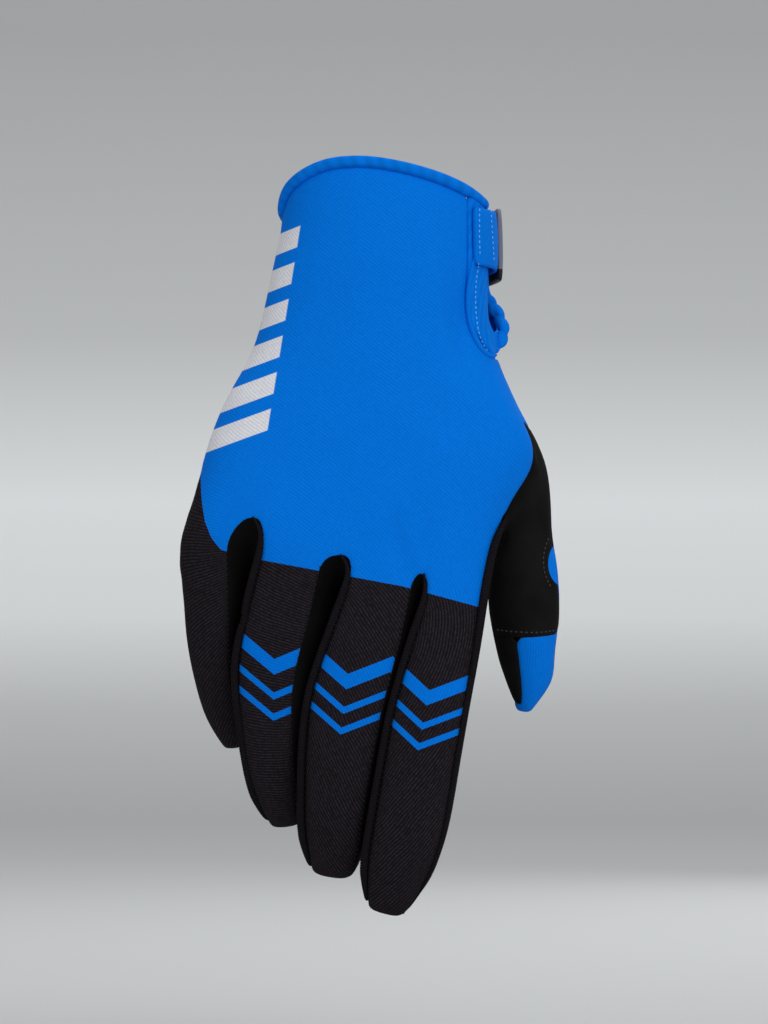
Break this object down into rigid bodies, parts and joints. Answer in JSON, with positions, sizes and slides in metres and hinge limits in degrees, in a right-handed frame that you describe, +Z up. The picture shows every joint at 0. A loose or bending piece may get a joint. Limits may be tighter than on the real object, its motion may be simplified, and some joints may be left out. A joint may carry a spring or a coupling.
{
  "type": "full-finger racing glove",
  "caption": "Full-finger right-hand racing glove in stretch cloth and suede, open at the cuff, with a wrist slit closed by a hook-and-loop strap and a moulded pull tab.",
  "frame": {"origin": "middle of the wrist opening, level with the cuff's edge at its two sides", "axes": "+Z up out of the cuff along the forearm, so the fingers point down to -Z; -Y is the side of the back of the hand and +Y the palm's; +X is the thumb's side"},
  "size_m": [0.1168, 0.059, 0.2324],
  "materials": {
    "blue_stretch_cloth": "fine diagonal rib, matte",
    "black_suede": "napped suede",
    "black_stretch_cloth": "smooth stretch knit, matte",
    "blue_binding": "smooth stretch binding",
    "grey_rubber": "satin moulded",
    "black_loop_pile": "brushed loop pile"
  },
  "bodies": {
    "root": {"back_panel": "blue_stretch_cloth", "palm_panel": "black_suede", "fourchette_little_ring": "black_stretch_cloth", "fourchette_ring_middle": "black_stretch_cloth", "fourchette_middle_index": "black_stretch_cloth", "thumb_back": "blue_stretch_cloth", "thumb_front": "black_suede", "thumb_patch": "black_suede", "cuff_binding": "blue_binding", "slit_binding": "blue_binding", "closure_strap": "blue_binding", "closure_tab": "grey_rubber", "closure_loop_pad": "black_loop_pile"}
  },
  "joints": []
}
